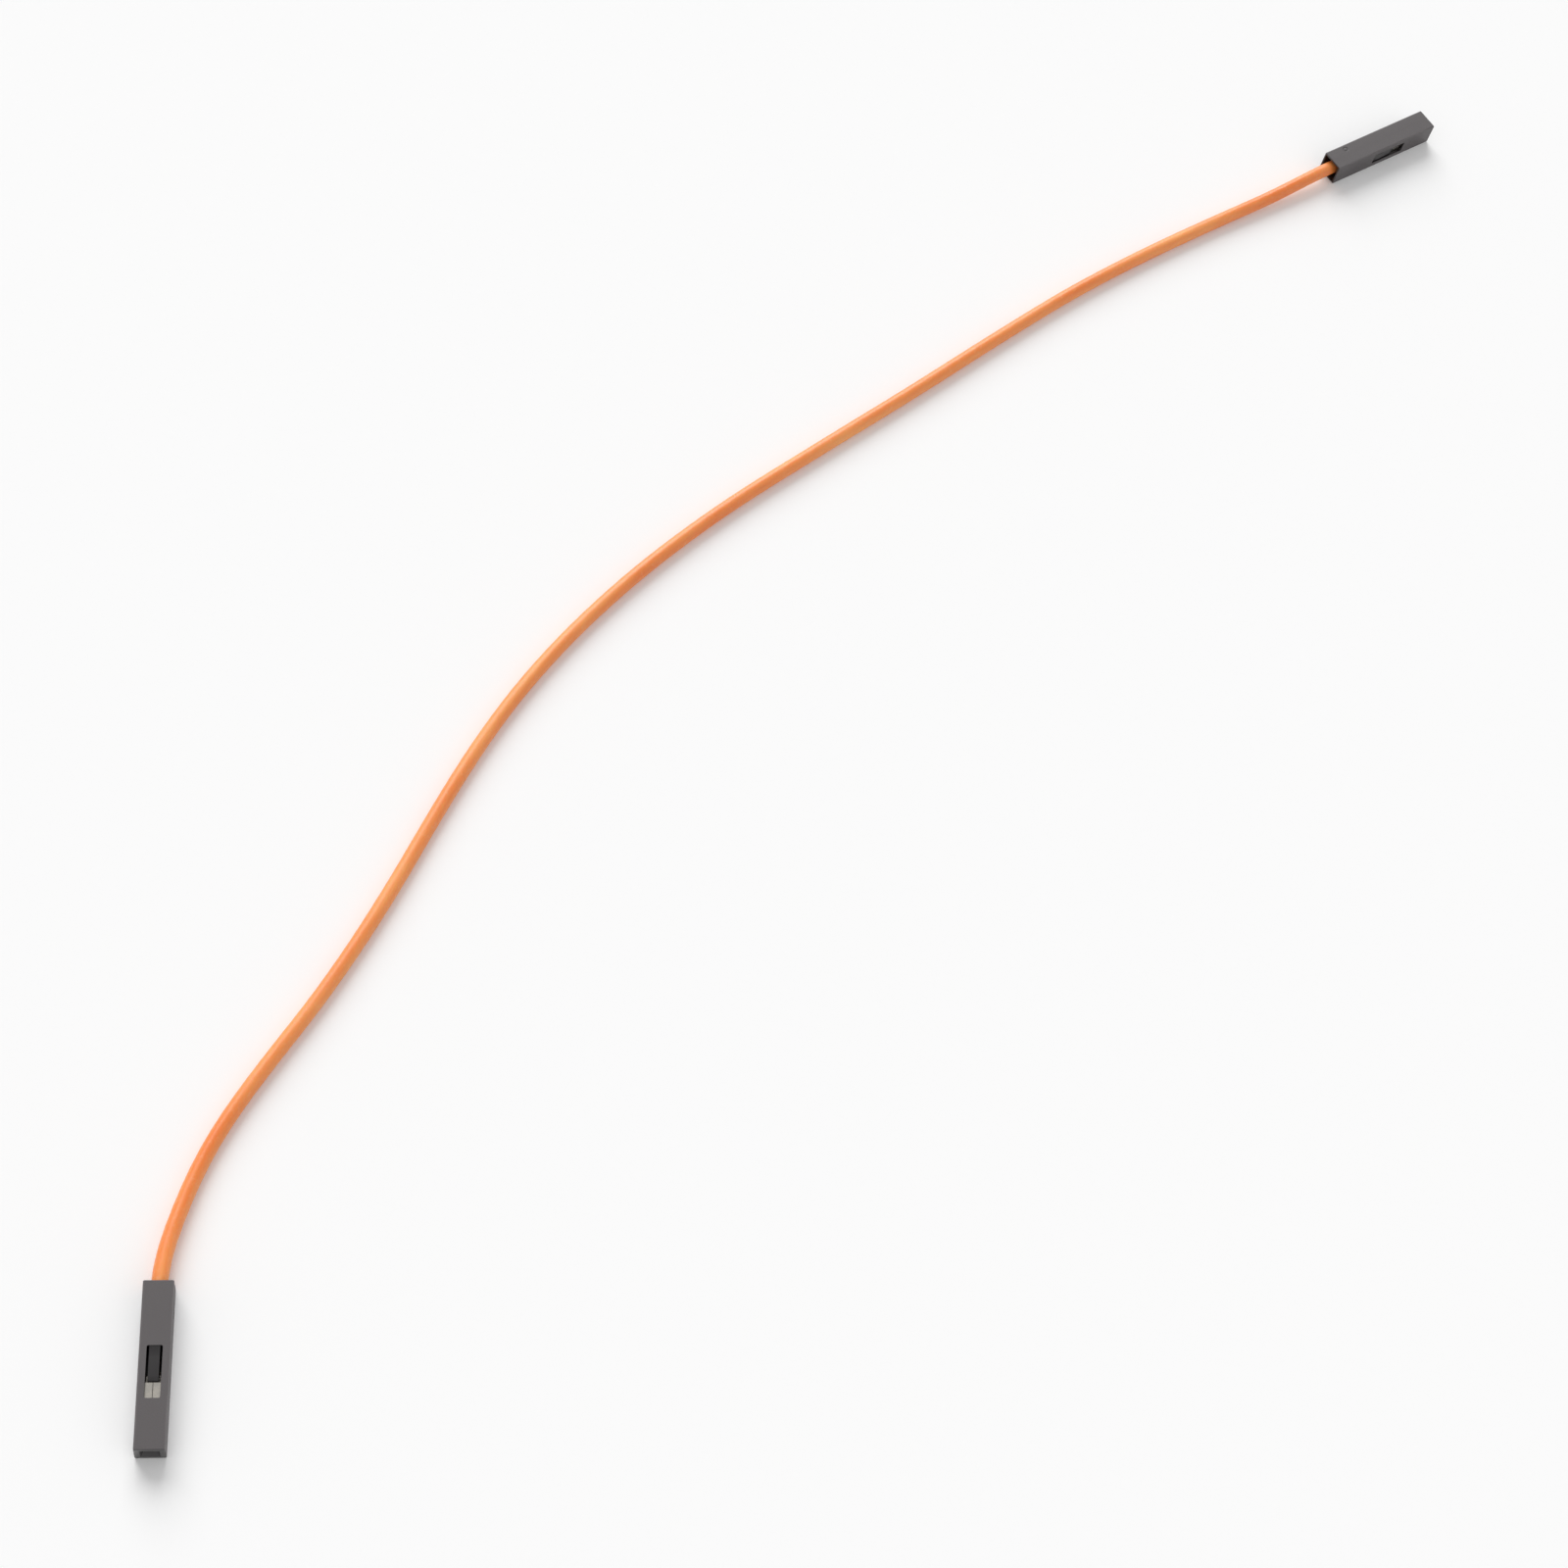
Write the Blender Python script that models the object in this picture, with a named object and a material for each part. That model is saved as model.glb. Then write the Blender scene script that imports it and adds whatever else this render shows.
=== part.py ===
"""A socket-to-socket breadboard jumper wire, lying on a table.

One orange wire with a one-way 2.54 mm black crimp housing on each end. Metres, +Z up, table at z = 0.
Each end is modelled in its own frame and placed by an empty: local +Y runs from the mating face to the
wire, local +Z is the side with the latch window.
"""
import math

import bmesh
import bpy
from mathutils import Vector

MM = 0.001

# Wire: stranded copper in a PVC jacket.
WIRE_DIAMETER = 1.40 * MM
STRAND_DIAMETER = 0.16 * MM
STRAND_GAP = 0.012 * MM
STRANDS_IN_RING = 6
STRAND_TWIST = math.radians(22) / MM
STRAND_STEPS = 7
BRUSH_LENGTH = 0.25 * MM
STRAND_DROP = 0.12 * MM
JACKET_CUT_GAP = 0.02 * MM

# Socket terminal: one blank of thin sheet, folded.
SHEET = 0.18 * MM
BOX_WIDTH = 1.84 * MM
BOX_LENGTH = 4.06 * MM
FOLD_RADIUS = 0.16 * MM
SEAM_GAP = 0.05 * MM
STEPS_PER_CORNER = 4
FINEST_STRIP = 0.025 * MM
WIDEST_STRIP = 0.18 * MM
CHANNEL_LENGTH = 1.00 * MM
CHANNEL_WALL = 0.55 * MM
NECK_LENGTH = 0.90 * MM
NECK_HALF_WIDTH = 0.50 * MM
CONDUCTOR_CRIMP_LENGTH = 1.90 * MM
CONDUCTOR_CLEARANCE = 0.02 * MM
BELLMOUTH_LENGTH = 0.30 * MM
BELLMOUTH_FLARE = 1.14
WING_GAP = 0.03 * MM
BRIDGE_SLOPE = 0.38 * MM
JACKET_PEEP = 0.17 * MM
JACKET_CRIMP_LENGTH = 2.10 * MM
JACKET_CLEARANCE = 0.02 * MM
TAIL_LENGTH = 0.30 * MM
TAIL_HALF_WIDTH = 0.30 * MM

# Contact leaves, folded back into the mouth of the box.
PIN_WIDTH = 0.64 * MM
LEAF_HALF_WIDTH = 0.34 * MM
LEAF_LENGTH = 2.90 * MM
LEAF_PRELOAD = 0.03 * MM
HEM_RADIUS = 0.15 * MM

# Housing: one black moulding.
HOUSING_WALL = 0.30 * MM
CAVITY_CLEARANCE = 0.05 * MM
CAVITY_CORNER = 0.06 * MM
FRONT_WALL = 1.20 * MM
SEAT_GAP = 0.05 * MM
REAR_SKIRT = 1.70 * MM
REAR_FLARE = 0.11 * MM
REAR_FLARE_DEPTH = 0.40 * MM
EDGE_RADIUS = 0.14 * MM
END_CHAMFER = 0.08 * MM
PIN_HOLE = 0.94 * MM
FUNNEL_WIDTH = 1.62 * MM
FUNNEL_DEPTH = 0.52 * MM

# Latch tongue and its window, on the local +Z side.
LATCH_WIDTH = 0.88 * MM
LATCH_SLOT = 0.20 * MM
LATCH_LENGTH = 2.90 * MM
LATCH_THICKNESS = 0.19 * MM
LATCH_RECESS = 0.08 * MM
LATCH_TIP_RISE = 0.06 * MM
LATCH_BITE = 0.45 * MM
LATCH_NOSE = 0.40 * MM
LATCH_CLEARANCE = 0.08 * MM
LATCH_ROOT = 0.30 * MM
WINDOW_VIEW = 1.35 * MM
WINDOW_CORNER = 0.12 * MM

# The lay plan: where the wire leaves each housing, the way it heads there, and its route on the table.
# Places are in plan units, so a larger unit gives a longer wire in the same curve.
PLAN_UNIT = 1.0 * MM
NEAR_EXIT = (-67.55, -58.20)
NEAR_HEADING = math.radians(88)
NEAR_ROLL = 0.0
FAR_EXIT = (56.35, 64.65)
FAR_HEADING = math.radians(207.9)
FAR_ROLL = math.radians(-90)
EXIT_RUN = 1.8 * MM

# Each route point has x, y, and the share of the drop from the housing's axis to the table still to come.
ROUTE = [
    (-66.5, -53.1, 0.46),
    (-65.1, -49.2, 0.09),
    (-63.3, -45.4, 0.0),
    (-61.0, -41.7, 0.0),
    (-58.1, -37.6, 0.0),
    (-54.8, -33.1, 0.0),
    (-51.2, -27.6, 0.0),
    (-47.6, -21.5, 0.0),
    (-44.0, -14.9, 0.0),
    (-40.2, -8.3, 0.0),
    (-36.0, -2.0, 0.0),
    (-30.7, 4.5, 0.0),
    (-23.7, 11.6, 0.0),
    (-14.9, 19.0, 0.0),
    (-4.6, 26.4, 0.0),
    (6.0, 33.8, 0.0),
    (16.3, 41.2, 0.0),
    (25.0, 47.2, 0.0),
    (33.6, 52.4, 0.0),
    (42.4, 57.2, 0.07),
    (49.6, 60.9, 0.39),
]
CURVE_STEPS = 24
POINT_SPACING = 2.6 * MM

# Sizes that follow from the ones above.
BUNDLE_RING = STRAND_DIAMETER + STRAND_GAP
BUNDLE_RADIUS = BUNDLE_RING + STRAND_DIAMETER / 2
WRAP_RADIUS = WIRE_DIAMETER / 2 + JACKET_CLEARANCE + SHEET / 2
TERMINAL_WIDTH = max(BOX_WIDTH, 2 * WRAP_RADIUS + SHEET)
CAVITY_HALF = TERMINAL_WIDTH / 2 + CAVITY_CLEARANCE
HOUSING_HALF = CAVITY_HALF + HOUSING_WALL

# Stations along an end, measured from the mating face.
BOX_FRONT = FRONT_WALL + SEAT_GAP + HEM_RADIUS + SHEET / 2
BOX_REAR = BOX_FRONT + BOX_LENGTH
CHANNEL_REAR = BOX_REAR + CHANNEL_LENGTH
CONDUCTOR_FRONT = CHANNEL_REAR + NECK_LENGTH
CONDUCTOR_REAR = CONDUCTOR_FRONT + CONDUCTOR_CRIMP_LENGTH
BRIDGE_REAR = CONDUCTOR_REAR + BRIDGE_SLOPE
JACKET_CUT = BRIDGE_REAR + JACKET_CUT_GAP
WRAP_FRONT = BRIDGE_REAR + JACKET_PEEP
WRAP_REAR = WRAP_FRONT + JACKET_CRIMP_LENGTH
TERMINAL_REAR = WRAP_REAR + TAIL_LENGTH
HOUSING_LENGTH = TERMINAL_REAR + REAR_SKIRT

LATCH_TIP = BOX_REAR + LATCH_CLEARANCE
LATCH_HINGE = LATCH_TIP + LATCH_LENGTH
CUT_THROUGH = 0.5 * MM


def clear_scene():
    for item in list(bpy.data.objects):
        bpy.data.objects.remove(item)


def plastic_or_metal(name, colour, roughness, metallic):
    material = bpy.data.materials.new(name)
    material.use_nodes = True
    shader = material.node_tree.nodes["Principled BSDF"]
    shader.inputs["Base Color"].default_value = (*colour, 1.0)
    shader.inputs["Roughness"].default_value = roughness
    shader.inputs["Metallic"].default_value = metallic
    return material


def add_object(name, data, parent, material):
    item = bpy.data.objects.new(name, data)
    bpy.context.scene.collection.objects.link(item)
    item.parent = parent
    if material:
        data.materials.append(material)
    return item


def finish_mesh(name, shape):
    bmesh.ops.recalc_face_normals(shape, faces=shape.faces)
    mesh = bpy.data.meshes.new(name)
    shape.to_mesh(mesh)
    shape.free()
    return mesh


def loft(name, rings):
    """A closed skin over rings that have the same number of points."""
    shape = bmesh.new()
    rows = [[shape.verts.new(point) for point in ring] for ring in rings]
    count = len(rows[0])
    for row, following in zip(rows, rows[1:]):
        for k in range(count):
            after = (k + 1) % count
            shape.faces.new((row[k], row[after], following[after], following[k]))
    shape.faces.new(rows[0])
    shape.faces.new(rows[-1])
    return finish_mesh(name, shape)


def rounded_rectangle(half_a, half_b, radius, segments):
    """Points of a rectangle with round corners, counter-clockwise in its own plane."""
    points = []
    for corner, (side_a, side_b) in enumerate(((1, 1), (-1, 1), (-1, -1), (1, -1))):
        for step in range(segments + 1):
            angle = math.radians(90 * (corner + step / segments))
            a = side_a * (half_a - radius) + radius * math.cos(angle)
            b = side_b * (half_b - radius) + radius * math.sin(angle)
            points.append((a, b))
    return points


def square_ring(half, radius, y, segments=3):
    return [Vector((a, y, b)) for a, b in rounded_rectangle(half, half, radius, segments)]


def extrude_profile(name, outline, half_width):
    """An outline in the local YZ plane, pushed out to both sides along X."""
    rings = [[Vector((x, y, z)) for y, z in outline] for x in (-half_width, half_width)]
    return loft(name, rings)


def add_cutter(name, mesh, parent):
    cutter = add_object(name, mesh, parent, None)
    cutter.hide_render = True
    cutter.display_type = "WIRE"
    return cutter


def apply_boolean(target, tool, operation):
    modifier = target.modifiers.new(tool.name, "BOOLEAN")
    modifier.operation = operation
    modifier.solver = "EXACT"
    modifier.object = tool


def housing_body():
    inset = HOUSING_HALF - END_CHAMFER
    inset_radius = max(EDGE_RADIUS - END_CHAMFER, EDGE_RADIUS / 4)
    return [
        square_ring(inset, inset_radius, 0.0),
        square_ring(HOUSING_HALF, EDGE_RADIUS, END_CHAMFER),
        square_ring(HOUSING_HALF, EDGE_RADIUS, HOUSING_LENGTH - END_CHAMFER),
        square_ring(inset, inset_radius, HOUSING_LENGTH),
    ]


def cavity_rings():
    """Terminal cavity, open and flared at the wire end."""
    beyond = 1 + CUT_THROUGH / REAR_FLARE_DEPTH
    return [
        square_ring(CAVITY_HALF, CAVITY_CORNER, FRONT_WALL, 1),
        square_ring(CAVITY_HALF, CAVITY_CORNER, HOUSING_LENGTH - REAR_FLARE_DEPTH, 1),
        square_ring(CAVITY_HALF + REAR_FLARE * beyond, CAVITY_CORNER, HOUSING_LENGTH + CUT_THROUGH, 1),
    ]


def mouth_rings():
    """Pin hole through the front wall, with a square lead-in funnel."""
    slope = (FUNNEL_WIDTH - PIN_HOLE) / 2 / FUNNEL_DEPTH
    outside = FUNNEL_WIDTH / 2 + slope * CUT_THROUGH
    corner = PIN_HOLE / 16
    return [
        square_ring(outside, corner, -CUT_THROUGH, 1),
        square_ring(PIN_HOLE / 2, corner, FUNNEL_DEPTH, 1),
        square_ring(PIN_HOLE / 2, corner, FRONT_WALL + CUT_THROUGH, 1),
    ]


def window_rings():
    front = BOX_REAR - WINDOW_VIEW
    middle = (front + LATCH_HINGE) / 2
    half_length = (LATCH_HINGE - front) / 2
    half_width = LATCH_WIDTH / 2 + LATCH_SLOT
    outline = rounded_rectangle(half_width, half_length, WINDOW_CORNER, 2)
    levels = (CAVITY_HALF - CUT_THROUGH / 2, HOUSING_HALF + CUT_THROUGH)
    return [[Vector((a, middle + b, level)) for a, b in outline] for level in levels]


def latch_outline():
    """Side view of the tongue: thin at the hinge, with a nose that drops behind the terminal's box."""
    top = HOUSING_HALF - LATCH_RECESS
    under = top - LATCH_THICKNESS
    tip_low = BOX_WIDTH / 2 - LATCH_BITE
    tip_top = top - LATCH_TIP_RISE
    root = LATCH_HINGE + LATCH_ROOT
    return [
        (root, under),
        (root, top),
        (LATCH_HINGE - LATCH_LENGTH / 3, top),
        (LATCH_TIP + LATCH_NOSE, tip_top),
        (LATCH_TIP, tip_top - LATCH_TIP_RISE),
        (LATCH_TIP, tip_low),
        (LATCH_TIP + LATCH_NOSE, tip_low),
        (LATCH_TIP + LATCH_LENGTH / 2, under - LATCH_THICKNESS / 3),
        (LATCH_HINGE - LATCH_LENGTH / 5, under),
    ]


def build_housing(prefix, end, material):
    body = add_object(f"{prefix}_housing", loft("housing", housing_body()), end, material)
    cavity = add_cutter(f"{prefix}_cavity_cutter", loft("cavity", cavity_rings()), end)
    mouth = add_cutter(f"{prefix}_mouth_cutter", loft("mouth", mouth_rings()), end)
    window = add_cutter(f"{prefix}_window_cutter", loft("window", window_rings()), end)
    tongue_mesh = extrude_profile("tongue", latch_outline(), LATCH_WIDTH / 2)
    tongue = add_cutter(f"{prefix}_tongue_tool", tongue_mesh, end)
    apply_boolean(body, cavity, "DIFFERENCE")
    apply_boolean(body, mouth, "DIFFERENCE")
    apply_boolean(body, window, "DIFFERENCE")
    apply_boolean(body, tongue, "UNION")


def box_point(u):
    """Middle of the sheet in the box, u being the distance along the blank from its centre line."""
    side = math.copysign(1.0, u)
    along = abs(u)
    half = (BOX_WIDTH - SHEET) / 2
    flat = half - FOLD_RADIUS
    fold = math.pi / 2 * FOLD_RADIUS
    if along <= flat:
        return side * along, -half
    along -= flat
    if along <= fold:
        angle = along / FOLD_RADIUS
        return side * (flat + FOLD_RADIUS * math.sin(angle)), -flat - FOLD_RADIUS * math.cos(angle)
    along -= fold
    if along <= 2 * flat:
        return side * half, -flat + along
    along -= 2 * flat
    if along <= fold:
        angle = along / FOLD_RADIUS
        return side * (flat + FOLD_RADIUS * math.cos(angle)), flat + FOLD_RADIUS * math.sin(angle)
    return side * (flat - (along - fold)), half


CRIMP_ARC = BUNDLE_RADIUS + CONDUCTOR_CLEARANCE + SHEET / 2
WING_ARC = (CRIMP_ARC - SHEET / 2 - WING_GAP / 2) / 2
CRIMP_FLOOR = -STRAND_DROP - BUNDLE_RADIUS - CONDUCTOR_CLEARANCE - SHEET / 2
CRIMP_SIDE = 2 * BUNDLE_RADIUS + 2 * CONDUCTOR_CLEARANCE + SHEET / 2 - CRIMP_ARC


def crimp_point(u):
    """Middle of the sheet in the conductor crimp: round floor, straight sides, two curled wings."""
    side = math.copysign(1.0, u)
    along = abs(u)
    floor_arc = math.pi / 2 * CRIMP_ARC
    if along <= floor_arc:
        angle = along / CRIMP_ARC
        return side * CRIMP_ARC * math.sin(angle), CRIMP_FLOOR + CRIMP_ARC * (1 - math.cos(angle))
    along -= floor_arc
    if along <= CRIMP_SIDE:
        return side * CRIMP_ARC, CRIMP_FLOOR + CRIMP_ARC + along
    angle = (along - CRIMP_SIDE) / WING_ARC
    top = CRIMP_FLOOR + CRIMP_ARC + CRIMP_SIDE
    return side * (CRIMP_ARC - WING_ARC + WING_ARC * math.cos(angle)), top + WING_ARC * math.sin(angle)


def bellmouth_point(u):
    """The conductor crimp opened out at its wire end."""
    x, z = crimp_point(u)
    return x * BELLMOUTH_FLARE, CRIMP_FLOOR + (z - CRIMP_FLOOR) * BELLMOUTH_FLARE


def wrap_point(u):
    """Middle of the sheet round the jacket."""
    angle = u / WRAP_RADIUS
    return WRAP_RADIUS * math.sin(angle), -WRAP_RADIUS * math.cos(angle)


def blank_blocks():
    """The flat blank, front to back: end station, steps, half width, and the fold at the block's end."""
    box_half = (BOX_WIDTH - SHEET) / 2
    flat = box_half - FOLD_RADIUS
    fold = math.pi / 2 * FOLD_RADIUS
    box_reach = 4 * flat + 2 * fold - SEAM_GAP / 2
    channel_reach = flat + fold + CHANNEL_WALL
    crimp_reach = math.pi / 2 * CRIMP_ARC + CRIMP_SIDE + math.pi * WING_ARC
    wrap_reach = math.pi * WRAP_RADIUS - SEAM_GAP / 2
    return [
        (BOX_REAR, 1, box_reach, box_point),
        (CHANNEL_REAR, 1, channel_reach, box_point),
        (CONDUCTOR_FRONT, 4, NECK_HALF_WIDTH, crimp_point),
        (CONDUCTOR_REAR - BELLMOUTH_LENGTH, 2, crimp_reach, crimp_point),
        (CONDUCTOR_REAR, 1, crimp_reach, bellmouth_point),
        (BRIDGE_REAR, 4, NECK_HALF_WIDTH, wrap_point),
        (WRAP_FRONT, 1, NECK_HALF_WIDTH, wrap_point),
        (WRAP_REAR, 1, wrap_reach, wrap_point),
        (TERMINAL_REAR, 1, TAIL_HALF_WIDTH, wrap_point),
    ]


def blank_columns(blocks, leaf_middle):
    """Fold lines and cut edges of the blank, as distances from its centre line, finely divided."""
    half = (BOX_WIDTH - SHEET) / 2
    flat = half - FOLD_RADIUS
    fold = math.pi / 2 * FOLD_RADIUS
    wing = math.pi / 2 * CRIMP_ARC + CRIMP_SIDE
    curl = math.pi / 2 * WING_ARC
    marks = [leaf_middle - LEAF_HALF_WIDTH, leaf_middle + LEAF_HALF_WIDTH]
    for bend, length in ((flat, fold), (3 * flat + fold, fold), (wing, curl), (wing + curl, curl)):
        marks += [bend + length * step / STEPS_PER_CORNER for step in range(STEPS_PER_CORNER + 1)]
    marks += [reach for _, _, reach, _ in blocks]
    columns = [0.0]
    for mark in sorted(marks):
        span = mark - columns[-1]
        if span < FINEST_STRIP:
            continue
        pieces = math.ceil(span / WIDEST_STRIP)
        start = columns[-1]
        columns += [start + span * (k + 1) / pieces for k in range(pieces)]
    return [-u for u in reversed(columns[1:])] + columns


def leaf_path():
    """Contact leaf seen from above: inward and backward distance of each bend from the box's front edge."""
    path = []
    for step in range(1, 7):
        angle = math.pi * step / 6
        path.append((HEM_RADIUS * (1 - math.cos(angle)), -HEM_RADIUS * math.sin(angle)))
    wall = (BOX_WIDTH - SHEET) / 2
    contact = PIN_WIDTH / 2 - LEAF_PRELOAD + SHEET / 2
    bulge = wall - 2 * HEM_RADIUS - contact
    for step in range(1, 9):
        share = step / 8
        path.append((2 * HEM_RADIUS + bulge * math.sin(math.pi * share) ** 2, LEAF_LENGTH * share))
    return path


def build_terminal(prefix, end, material):
    blocks = blank_blocks()
    half = (BOX_WIDTH - SHEET) / 2
    leaf_middle = 2 * (half - FOLD_RADIUS) + math.pi / 2 * FOLD_RADIUS
    columns = blank_columns(blocks, leaf_middle)

    def nearest(u):
        return min(range(len(columns)), key=lambda k: abs(columns[k] - u))

    shape = bmesh.new()
    row = [shape.verts.new((x, BOX_FRONT, z)) for x, z in map(box_point, columns)]
    front_row = row
    start, fold_before = BOX_FRONT, box_point
    for stop, steps, reach, fold_after in blocks:
        first, last = nearest(-reach), nearest(reach)
        for step in range(1, steps + 1):
            share = step / steps
            ease = share * share * (3 - 2 * share)
            y = start + (stop - start) * share
            following = []
            for u in columns:
                x0, z0 = fold_before(u)
                x1, z1 = fold_after(u)
                following.append(shape.verts.new((x0 + (x1 - x0) * ease, y, z0 + (z1 - z0) * ease)))
            for k in range(first, last):
                shape.faces.new((row[k], row[k + 1], following[k + 1], following[k]))
            row = following
        start, fold_before = stop, fold_after

    for side in (-1, 1):
        edges = sorted((nearest(side * (leaf_middle - LEAF_HALF_WIDTH)),
                        nearest(side * (leaf_middle + LEAF_HALF_WIDTH))))
        strip = front_row[edges[0]:edges[1] + 1]
        for inward, backward in leaf_path():
            following = []
            for corner in front_row[edges[0]:edges[1] + 1]:
                place = (corner.co.x - side * inward, BOX_FRONT + backward, corner.co.z)
                following.append(shape.verts.new(place))
            for k in range(len(strip) - 1):
                shape.faces.new((strip[k], following[k], following[k + 1], strip[k + 1]))
            strip = following

    loose = [vertex for vertex in shape.verts if not vertex.link_faces]
    bmesh.ops.delete(shape, geom=loose, context="VERTS")
    mesh = finish_mesh("terminal", shape)
    mesh.shade_smooth()
    mesh.set_sharp_from_angle(angle=math.radians(50))
    terminal = add_object(f"{prefix}_terminal", mesh, end, material)
    sheet = terminal.modifiers.new("sheet", "SOLIDIFY")
    sheet.thickness = SHEET
    sheet.offset = 0.0
    sheet.use_even_offset = True


def round_curve(name, points, diameter, resolution, parent, material):
    data = bpy.data.curves.new(name, "CURVE")
    data.dimensions = "3D"
    data.bevel_depth = diameter / 2
    data.bevel_resolution = resolution
    data.use_fill_caps = True
    spline = data.splines.new("POLY")
    spline.points.add(len(points) - 1)
    for target, point in zip(spline.points, points):
        target.co = (*point, 1.0)
    return add_object(name, data, parent, material)


def strand_points(ring, phase):
    """One copper strand, from the brush in front of its crimp to the cut end of the jacket."""
    front = CONDUCTOR_FRONT - BRUSH_LENGTH
    stations = [front + (CONDUCTOR_REAR - front) * k / (STRAND_STEPS - 1) for k in range(STRAND_STEPS)]
    stations.append(BRIDGE_REAR)
    points = []
    for y in stations:
        drop = STRAND_DROP if y <= CONDUCTOR_REAR else 0.0
        angle = phase + STRAND_TWIST * (y - front)
        points.append(Vector((ring * math.cos(angle), y, ring * math.sin(angle) - drop)))
    return points


def build_strands(prefix, end, material):
    middle = strand_points(0.0, 0.0)
    round_curve(f"{prefix}_strand_1", middle, STRAND_DIAMETER, 1, end, material)
    for k in range(STRANDS_IN_RING):
        points = strand_points(BUNDLE_RING, 2 * math.pi * k / STRANDS_IN_RING)
        round_curve(f"{prefix}_strand_{k + 2}", points, STRAND_DIAMETER, 1, end, material)


def place_end(name, leave_at, heading, roll):
    """The frame of one end: its origin is the middle of the mating face."""
    frame = bpy.data.objects.new(name, None)
    bpy.context.scene.collection.objects.link(frame)
    frame.location = end_point(leave_at, heading, 0.0)
    frame.rotation_euler = (0.0, roll, heading - math.pi / 2)
    return frame


def end_point(leave_at, heading, station):
    """World place on an end's axis, at a station measured from its mating face."""
    back = station - HOUSING_LENGTH
    x = leave_at[0] * PLAN_UNIT + back * math.cos(heading)
    y = leave_at[1] * PLAN_UNIT + back * math.sin(heading)
    return Vector((x, y, HOUSING_HALF))


def centripetal(before, start, stop, after, share):
    """A point between start and stop on a centripetal Catmull-Rom curve, which can't loop or overshoot."""
    places = (before, start, stop, after)
    times = [0.0]
    for place, following in zip(places, places[1:]):
        times.append(times[-1] + math.sqrt((following - place).length))
    now = times[1] + (times[2] - times[1]) * share

    def between(first, second, low, high):
        return first.lerp(second, (now - low) / (high - low))

    one = between(before, start, times[0], times[1])
    two = between(start, stop, times[1], times[2])
    three = between(stop, after, times[2], times[3])
    left = between(one, two, times[0], times[2])
    right = between(two, three, times[1], times[3])
    return between(left, right, times[1], times[2])


def smooth_route(knots):
    """Evenly spaced points on one smooth curve from the second knot to the last but one."""
    dense = []
    for k in range(1, len(knots) - 2):
        for step in range(CURVE_STEPS):
            dense.append(centripetal(*knots[k - 1:k + 3], step / CURVE_STEPS))
    dense.append(knots[-2])
    reach = [0.0]
    for point, following in zip(dense, dense[1:]):
        reach.append(reach[-1] + (following - point).length)
    count = round(reach[-1] / POINT_SPACING)
    points = []
    k = 0
    for step in range(count + 1):
        wanted = reach[-1] * step / count
        while k < len(reach) - 2 and reach[k + 1] < wanted:
            k += 1
        share = (wanted - reach[k]) / (reach[k + 1] - reach[k])
        points.append(dense[k].lerp(dense[k + 1], share))
    return points


def wire_points():
    """The jacket's centre line: straight in each housing, and one smooth curve between them."""
    rest = WIRE_DIAMETER / 2
    drop = HOUSING_HALF - rest
    on_table = [Vector((x * PLAN_UNIT, y * PLAN_UNIT, rest + share * drop)) for x, y, share in ROUTE]
    near_cut = end_point(NEAR_EXIT, NEAR_HEADING, JACKET_CUT)
    near_exit = end_point(NEAR_EXIT, NEAR_HEADING, HOUSING_LENGTH)
    near_run = end_point(NEAR_EXIT, NEAR_HEADING, HOUSING_LENGTH + EXIT_RUN)
    far_run = end_point(FAR_EXIT, FAR_HEADING, HOUSING_LENGTH + EXIT_RUN)
    far_exit = end_point(FAR_EXIT, FAR_HEADING, HOUSING_LENGTH)
    far_cut = end_point(FAR_EXIT, FAR_HEADING, JACKET_CUT)
    free = smooth_route([near_exit, near_run, *on_table, far_run, far_exit])
    for point in free:
        point.z = max(point.z, rest)
    return [near_cut, near_exit, *free, far_exit, far_cut]


def main():
    clear_scene()
    black = plastic_or_metal("black moulded polyester", (0.018, 0.018, 0.020), 0.48, 0.0)
    orange = plastic_or_metal("orange PVC", (0.86, 0.20, 0.045), 0.42, 0.0)
    tinned = plastic_or_metal("tin plated bronze sheet", (0.72, 0.70, 0.66), 0.28, 1.0)
    copper = plastic_or_metal("tinned copper strand", (0.80, 0.62, 0.50), 0.30, 1.0)
    ends = (
        ("near", NEAR_EXIT, NEAR_HEADING, NEAR_ROLL),
        ("far", FAR_EXIT, FAR_HEADING, FAR_ROLL),
    )
    for prefix, leave_at, heading, roll in ends:
        end = place_end(f"{prefix}_end", leave_at, heading, roll)
        build_housing(prefix, end, black)
        build_terminal(prefix, end, tinned)
        build_strands(prefix, end, copper)
    round_curve("insulation", wire_points(), WIRE_DIAMETER, 2, None, orange)


main()
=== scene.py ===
"""Looks of a socket-to-socket jumper wire that lies on a pale table.

Metres, +Z up, table at z = 0. Each end has its own frame, as in the CAD: local +Y runs from the mating
face to the wire, and local +Z is the side with the latch window.
"""
import math

import bmesh
import bpy
import numpy as np
from mathutils import Euler, Matrix, Vector
from mathutils.bvhtree import BVHTree


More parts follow.
